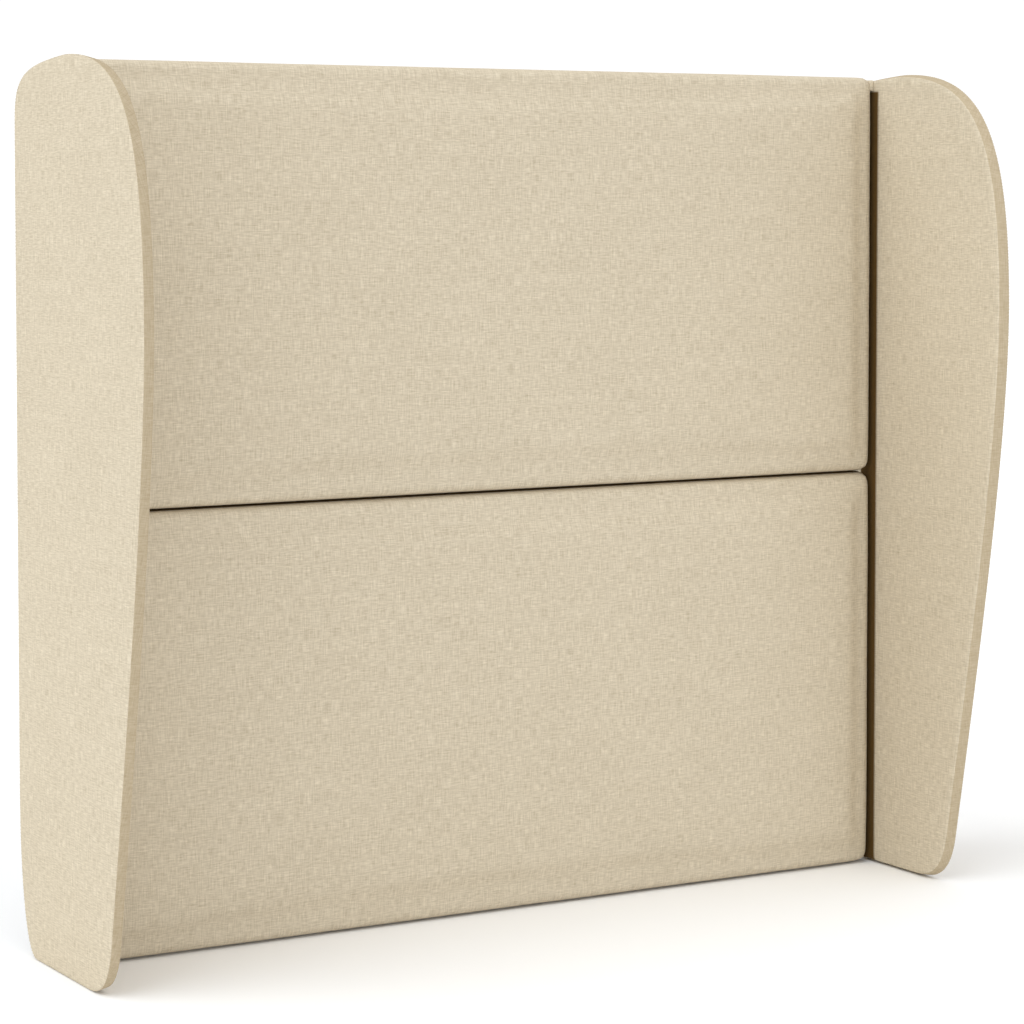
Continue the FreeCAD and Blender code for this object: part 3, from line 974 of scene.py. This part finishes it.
@dataclass
class SeamStitches:
    """The small stitches that close a wing's cover, laid along a seam by Geometry Nodes."""

    pitch: float = 0.0055
    length: float = 0.0030
    thread: float = 0.0007
    seed: int = 5

    def tree(self) -> bpy.types.GeometryNodeTree:
        """The node tree that lays a stitch at every step of a seam."""
        tree = bpy.data.node_groups.new("seam stitches", "GeometryNodeTree")
        face = tree.interface
        face.new_socket("Seam", in_out="INPUT", socket_type="NodeSocketGeometry")
        for name, kind in (("Pitch", "NodeSocketFloat"), ("Stitch length", "NodeSocketFloat"),
                           ("Thread", "NodeSocketFloat"), ("Seed", "NodeSocketInt"),
                           ("Finish", "NodeSocketMaterial")):
            face.new_socket(name, in_out="INPUT", socket_type=kind)
        face.new_socket("Stitches", in_out="OUTPUT", socket_type="NodeSocketGeometry")
        made: dict[str, bpy.types.Node] = {}
        for key, kind in (("in", "NodeGroupInput"), ("out", "NodeGroupOutput"),
                          ("curve", "GeometryNodeMeshToCurve"), ("steps", "GeometryNodeResampleCurve"),
                          ("ball", "GeometryNodeMeshUVSphere"), ("lay", "GeometryNodeInstanceOnPoints"),
                          ("tangent", "GeometryNodeInputTangent"),
                          ("turn", "FunctionNodeAlignRotationToVector"),
                          ("size", "ShaderNodeCombineXYZ"), ("half", "ShaderNodeMath"),
                          ("thin", "ShaderNodeMath"), ("vary", "FunctionNodeRandomValue"),
                          ("scale", "ShaderNodeMath"), ("real", "GeometryNodeRealizeInstances"),
                          ("soft", "GeometryNodeSetShadeSmooth"), ("dress", "GeometryNodeSetMaterial")):
            made[key] = tree.nodes.new(kind)
        made["steps"].mode = "LENGTH"
        made["turn"].axis = "Z"
        made["vary"].data_type = "FLOAT"
        for key in ("half", "thin", "scale"):
            made[key].operation = "MULTIPLY"
        for key, socket, value in (("half", 1, 0.5), ("thin", 1, 0.5), ("ball", "Segments", 6),
                                   ("ball", "Rings", 5), ("ball", "Radius", 1.0), ("vary", 2, 0.75),
                                   ("vary", 3, 1.15)):
            made[key].inputs[socket].default_value = value
        for source, output, target, socket in (
                ("in", "Seam", "curve", 0), ("curve", 0, "steps", "Curve"), ("in", "Pitch", "steps", "Length"),
                ("in", "Stitch length", "half", 0), ("in", "Thread", "thin", 0), ("in", "Seed", "vary", "Seed"),
                ("half", 0, "scale", 0), ("vary", 1, "scale", 1), ("thin", 0, "size", 0),
                ("thin", 0, "size", 1), ("scale", 0, "size", 2), ("tangent", 0, "turn", "Vector"),
                ("steps", 0, "lay", "Points"), ("ball", 0, "lay", "Instance"), ("turn", 0, "lay", "Rotation"),
                ("size", 0, "lay", "Scale"), ("lay", 0, "real", 0), ("real", 0, "soft", 0),
                ("soft", 0, "dress", "Geometry"), ("in", "Finish", "dress", "Material"),
                ("dress", 0, "out", 0)):
            tree.links.new(made[source].outputs[output], made[target].inputs[socket])
        return tree

    def sew(self, name: str, seam: list[Point], finish: bpy.types.Material) -> bpy.types.Object:
        """Lay stitches along a closed seam.

        Args:
            name: the name of the stitches.
            seam: the seam's points, in order.
            finish: the thread's material.

        Returns:
            The stitches, one plain mesh.
        """
        line = bpy.data.meshes.new(name)
        line.from_pydata(seam, [(i, (i + 1) % len(seam)) for i in range(len(seam))], [])
        piece = linked(name, line)
        tree = self.tree()
        modifier = piece.modifiers.new("stitches", "NODES")
        modifier.node_group = tree
        values = {"Pitch": self.pitch, "Stitch length": self.length, "Thread": self.thread,
                  "Seed": self.seed, "Finish": finish}
        for item in tree.interface.items_tree:
            if item.in_out == "INPUT" and item.name in values:
                modifier[item.identifier] = values[item.name]
        baked(piece)
        return piece


@dataclass
class Wing:
    """One padded wing: an inner cover that wraps its front edge, an outer cover and their seam."""

    side: Side
    linen: bpy.types.Material
    thread: bpy.types.Material
    spacing: float = 0.010
    seam_inset: float = 0.0010
    seam_back: float = 0.0012
    fold_inset: float = 0.0048
    stuffing: Stuffing = Stuffing(cap=(0.0016, 0.0008, 0.0008), stiffness=25.0)
    stitches: SeamStitches = field(default_factory=SeamStitches)
    curves: tuple[tuple[tuple[float, float], ...], ...] = (
        ((0.0, 0.185), (0.0, 0.93)),
        ((0.0, 0.93), (0.0, 0.98), (0.06, 0.992), (0.42, 1.0)),
        ((0.42, 1.0), (0.85, 1.0), (1.0, 0.924), (1.0, 0.709)),
        ((1.0, 0.709), (1.0, 0.549), (0.835, 0.25), (0.735, 0.06)),
        ((0.735, 0.06), (0.711, 0.012), (0.64, 0.0), (0.56, 0.0)),
        ((0.56, 0.0), (0.13, 0.0)),
        ((0.13, 0.0), (0.06, 0.0), (0.0, 0.07), (0.0, 0.185)),
    )

    def __post_init__(self) -> None:
        """Read the wing's box and lay out its outline."""
        low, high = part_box(f"wing_{self.side.word}_inner_cover")
        outer_low, outer_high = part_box(f"wing_{self.side.word}_outer_cover")
        self.low, self.high = low, high
        if self.side is Side.LEFT:
            self.inner_x, self.outer_x = high.x, outer_low.x
        else:
            self.inner_x, self.outer_x = low.x, outer_high.x
        self.thick = abs(self.outer_x - self.inner_x)
        self.outline = self.even_outline()
        step = np.roll(self.outline, -1, 0) - np.roll(self.outline, 1, 0)
        step /= np.linalg.norm(step, axis=1)[:, None]
        y, z = self.outline.T
        area = np.sum(y * np.roll(z, -1) - np.roll(y, -1) * z)
        self.inward = np.stack([-step[:, 1], step[:, 0]], 1) * (1 if area > 0 else -1)

    def even_outline(self) -> np.ndarray:
        """The outline as evenly spaced points, y and z."""
        dense = []
        for curve in self.curves:
            for t in np.linspace(0, 1, 160, endpoint=False):
                level = [np.array(p) for p in curve]
                while len(level) > 1:
                    level = [a + (b - a) * t for a, b in zip(level, level[1:])]
                dense.append(level[0])
        shares = np.array(dense)
        line = np.stack([self.high.y - shares[:, 0] * (self.high.y - self.low.y),
                         self.low.z + shares[:, 1] * (self.high.z - self.low.z)], 1)
        closed = np.concatenate([line, line[:1]])
        run = np.concatenate([[0], np.cumsum(np.linalg.norm(np.diff(closed, axis=0), axis=1))])
        count = round(run[-1] / self.spacing)
        wanted = np.linspace(0, run[-1], count, endpoint=False)
        return np.stack([np.interp(wanted, run, closed[:, i]) for i in (0, 1)], 1)

    def x_at(self, depth: float) -> float:
        """The x at a depth in from the inner face towards the outer one."""
        return self.inner_x + self.side.value * depth

    def loop(self, inset: float) -> np.ndarray:
        """The outline drawn in by an inset."""
        return self.outline + self.inward * inset

    def shell(self, name: str, profile: list[tuple[float, float]], outward: float,
              fold: int = 0) -> tuple[bpy.types.Object, list[int]]:
        """A cover that starts at the seam and ends in a flat face.

        Args:
            name: the piece's name.
            profile: inset and depth of each ring, from the seam to the face's edge.
            outward: the sign of x that the face looks to.
            fold: the number of a ring that is creased and held as the seam is.

        Returns:
            The piece and the numbers of its held points.
        """
        pattern = Pattern()
        flat_inset = profile[-1][0]
        lengths = [0.0]
        for (a, b), (c, d) in zip(profile, profile[1:]):
            lengths.append(lengths[-1] + math.hypot(c - a, d - b))
        loops = []
        for (inset, depth), run in zip(profile, lengths):
            ring = self.loop(inset)
            unrolled = self.loop(flat_inset) - self.inward * (lengths[-1] - run)
            loops.append(pattern.add([(self.x_at(depth), y, z) for y, z in ring], unrolled))
        for first, second in zip(loops, loops[1:]):
            pattern.bridge(first, second)
        points, faces = filled([self.loop(flat_inset)], self.spacing * 1.35)
        count = len(loops[-1])
        x = self.x_at(profile[-1][1])
        extra = pattern.add([(x, y, z) for y, z in points[count:]], points[count:])
        numbers = loops[-1] + extra
        pattern.faces += [tuple(numbers[i] for i in face) for face in faces]
        piece = pattern.piece(name, (outward, 0, 0), self.linen)
        return piece, loops[0] + (loops[fold] if fold else [])

    def pressed(self, piece: bpy.types.Object) -> None:
        """Keep the inner face flat under the brackets and the groove spacer, and off the floor."""
        places = places_of(piece)
        boxes = [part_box(f"bracket_{self.side.word}_{i}") for i in range(1, 5)]
        boxes.append(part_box(f"groove_spacer_{self.side.word}"))
        bulge = (self.inner_x - places[:, 0]) * self.side.value
        for low, high in boxes:
            dy = np.maximum(np.maximum(low.y - places[:, 1], places[:, 1] - high.y), 0)
            dz = np.maximum(np.maximum(low.z - places[:, 2], places[:, 2] - high.z), 0)
            hold = np.exp(-((np.hypot(dy, dz) / 0.012) ** 2))
            bulge = np.where(bulge > -0.0008, bulge - hold * np.maximum(bulge + 0.0003, 0), bulge)
        places[:, 0] = self.inner_x - bulge * self.side.value
        places[:, 2] = np.maximum(places[:, 2], 0.0)
        put_places(piece, places)

    def build(self) -> None:
        """Make and dress both covers and the seam's stitches."""
        thick, inset, back = self.thick, self.seam_inset, self.seam_back
        seam = (inset, thick - back)
        word = self.side.word
        inner, held = self.shell(f"wing_{word}_inner_pad",
                                 [seam, (0.0006, thick - 0.0020), (0.0010, thick - 0.0050),
                                  (0.0022, thick - 0.0100), (0.0034, 0.0050), (0.0041, 0.0020),
                                  (self.fold_inset, back), (0.0062, 0.0006), (0.0092, 0.0004),
                                  (0.0130, 0.0003)],
                                 -self.side.value, 6)
        outer, held_outer = self.shell(f"wing_{word}_outer_pad",
                                       [seam, (0.0024, thick - 0.0006), (0.0055, thick - 0.0004),
                                        (0.0100, thick - 0.0003)], self.side.value)
        for piece, fixed in ((inner, held), (outer, held_outer)):
            self.stuffing.swell(piece, fixed)
        self.pressed(inner)
        for piece, end in ((inner, "inner"), (outer, "outer")):
            smoothed(piece)
            added(piece, (f"wing_{word}_{end}_cover", f"wing_{word}_{end}_foam"))
        ring = self.loop(inset - 0.0002)
        line = [(self.x_at(thick - back + 0.0001), y, max(z, 0.0004)) for y, z in ring]
        added(self.stitches.sew(f"wing_{word}_seam_stitches", line, self.thread))


@dataclass
class GrooveSpacer:
    """A small covered block that closes a groove at its top."""

    side: Side
    linen: bpy.types.Material
    round_edge: float = 0.0016
    press: float = 0.0006
    cuts: int = 7

    def build(self) -> None:
        """Make and dress the block."""
        low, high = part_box(f"groove_spacer_{self.side.word}")
        half = np.array((high - low) / 2) + np.array((self.press, 0.0, 0.0))
        centre = np.array((high + low) / 2)
        mesh = bmesh.new()
        bmesh.ops.create_cube(mesh, size=2.0)
        bmesh.ops.subdivide_edges(mesh, edges=mesh.edges[:], cuts=self.cuts, use_grid_fill=True)
        mesh.verts.ensure_lookup_table()
        pattern = Pattern()
        points, cloth = [], []
        for vertex in mesh.verts:
            unit = np.array(vertex.co)
            reach = unit * half
            core = np.clip(reach, -(half - self.round_edge), half - self.round_edge)
            away = reach - core
            place = core + self.round_edge * away / max(np.linalg.norm(away), 1e-9)
            crown = 0.0006 * (1 - unit[0] ** 2) * (1 - unit[2] ** 2)
            place[1] += crown * np.sign(unit[1]) * (abs(unit[1]) > 0.9)
            points.append(tuple(centre + place))
            cloth.append((place[0] + place[1] + centre[1], place[2] + centre[2]))
        pattern.add(points, cloth)
        pattern.faces = [tuple(v.index for v in face.verts) for face in mesh.faces]
        mesh.free()
        piece = pattern.piece(f"groove_block_{self.side.word}", (0, 0, 0), self.linen)
        added(piece, (f"groove_spacer_{self.side.word}",))


@dataclass
class TimberAndHardware:
    """The frames, struts, brackets and fasteners, which keep their CAD shapes."""

    across: Timber = Timber("pine along the rails", Grain.ACROSS)
    upright: Timber = Timber("pine up the posts", Grain.UPRIGHT)
    ply: Timber = Timber("birch plywood", Grain.UPRIGHT, (0.60, 0.46, 0.29), (0.46, 0.32, 0.18), rings=40.0)
    bracket: Steel = Steel("black powder coat", (0.045, 0.045, 0.047), (0.022, 0.022, 0.024), 0.0,
                           (0.42, 0.60), 1500.0, 0.00015)
    zinc: Steel = Steel("bright zinc", (0.68, 0.68, 0.66), (0.44, 0.44, 0.43), 1.0, (0.26, 0.44), 2200.0,
                        0.00004)
    wire: Steel = Steel("staple wire", (0.72, 0.72, 0.72), (0.48, 0.48, 0.49), 1.0, (0.24, 0.38), 2600.0,
                        0.00003)

    def dress(self, hidden: set[str]) -> None:
        """Give every shown CAD node its finish.

        Args:
            hidden: the nodes that another piece stands for.
        """
        slots = {part["node"]: part["material_slot"] for part in frame["record"]["subparts"]}
        materials = {"across": self.across.material(), "upright": self.upright.material(),
                     "plywood": self.ply.material(), "bracket_steel": self.bracket.material(),
                     "fastener_steel": self.zinc.material(), "staple_steel": self.wire.material()}
        for name, node in sorted(frame["nodes"].items()):
            if name in hidden:
                continue
            key = slots[name]
            if key == "pine":
                low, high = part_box(name)
                key = "across" if high.x - low.x > high.z - low.z else "upright"
            material = materials[key]
            if not node.data.materials:
                node.data.materials.append(material)
            for place in node.material_slots:
                place.material = material
            LOG.info("%s: dressed in %s", name, material.name)


@dataclass
class Studio:
    """The plain floor, the soft lights and the camera."""

    camera_place: Point = (-2.56652, -4.33143, 1.19465)
    heading: float = 30.29975
    pitch: float = -2.79320
    lens: float = 108.5896
    shift: float = -0.16
    sky: float = 0.64
    floor_half: float = 30.0
    floor_drop: float = 0.0005
    dome_radius: float = 28.0
    backdrop_glow: float = 1.05

    def staged(self, name: str, shape: bmesh.types.BMesh, material: bpy.types.Material) -> bpy.types.Object:
        """Put a part of the studio in the scene.

        Args:
            name: its name.
            shape: its shape, which is freed.
            material: its finish.

        Returns:
            The object.
        """
        data = bpy.data.meshes.new(name)
        shape.to_mesh(data)
        shape.free()
        data.materials.append(material)
        made = linked(name, data)
        return made

    def floor(self) -> None:
        """A wide pale floor under the headboard."""
        shape = bmesh.new()
        bmesh.ops.create_grid(shape, x_segments=24, y_segments=24, size=self.floor_half)
        bmesh.ops.translate(shape, verts=shape.verts, vec=(0.0, 0.0, -self.floor_drop))
        self.staged("studio_floor", shape, StudioPaint().material())

    def backdrop(self) -> None:
        """An even white backdrop, far off all round, which casts no light of its own."""
        recipe = Recipe("white backdrop", {"Base Color": (0.0, 0.0, 0.0, 1.0), "Specular IOR Level": 0.0,
                                           "Emission Color": (1.0, 1.0, 1.0, 1.0),
                                           "Emission Strength": self.backdrop_glow})
        shape = bmesh.new()
        bmesh.ops.create_uvsphere(shape, u_segments=48, v_segments=24, radius=self.dome_radius)
        bmesh.ops.reverse_faces(shape, faces=shape.faces)
        made = self.staged("studio_backdrop", shape, recipe.material)
        for kind in ("diffuse", "glossy", "transmission", "volume_scatter", "shadow"):
            setattr(made, f"visible_{kind}", False)

    def light(self, name: str, towards: Point, strength: float, spread: float,
              colour: Colour = (1.0, 1.0, 1.0)) -> None:
        """Hang one broad soft light, far off.

        Args:
            name: its name.
            towards: the direction in which the light stands.
            strength: how much light it gives.
            spread: how wide it looks, in degrees.
            colour: the colour of its light.
        """
        data = bpy.data.lights.new(name, "SUN")
        data.energy = strength
        data.color = colour
        data.angle = math.radians(spread)
        made = linked(name, data)
        made.rotation_euler = Vector(towards).to_track_quat("Z", "Y").to_euler()

    def build(self) -> None:
        """Set up floor, sky, lights and camera."""
        self.floor()
        self.backdrop()
        world = bpy.data.worlds.new("studio sky")
        world.use_nodes = True
        sky = world.node_tree.nodes["Background"]
        sky.inputs["Color"].default_value = (1.0, 1.0, 1.0, 1.0)
        sky.inputs["Strength"].default_value = self.sky
        bpy.context.scene.world = world
        self.light("key light", (-0.72, -0.12, 0.68), 1.45, 64.0, (0.92, 0.965, 1.0))
        self.light("front light", (-0.05, -0.95, 0.30), 0.48, 60.0)
        self.light("top light", (0.05, -0.20, 1.0), 0.78, 110.0)
        data = bpy.data.cameras.new("studio camera")
        data.sensor_width = 36.0
        data.lens = self.lens
        data.shift_y = self.shift
        data.clip_end = 100.0
        camera = linked("studio camera", data)
        camera.location = self.camera_place
        camera.rotation_euler = (math.radians(90 + self.pitch), 0.0, -math.radians(self.heading))
        bpy.context.scene.camera = camera
        bpy.context.scene.view_settings.view_transform = "Standard"


def main() -> None:
    """Build the headboard around its CAD frame."""
    logging.basicConfig(level=logging.INFO, format="%(name)s: %(message)s")
    linen = Linen().material()
    back_cloth = BackCloth().material()
    thread = SeamThread().material()
    for name in ("lower", "upper"):
        holes = [(x, z, BOLT_HOLE) for x in STUD_PLACES for z in BOLT_HEIGHTS[name]]
        holes += [(side.value * BRACKET_PLACE, z, BOLT_HOLE) for side in Side for z in BRACKET_HEIGHTS[name]]
        if name == "lower":
            holes += [(x, z, LEG_HOLE) for x in (STUD_PLACES[0], STUD_PLACES[-1]) for z in LEG_HEIGHTS]
        PaddedPanel(name, linen, back_cloth, tuple(holes)).build()
    for side in Side:
        Wing(side, linen, thread).build()
        GrooveSpacer(side, linen).build()
    hidden = {name for name, node in frame["nodes"].items() if node.hide_render}
    TimberAndHardware().dress(hidden)
    Studio().build()


if __name__ == "__main__":
    main()
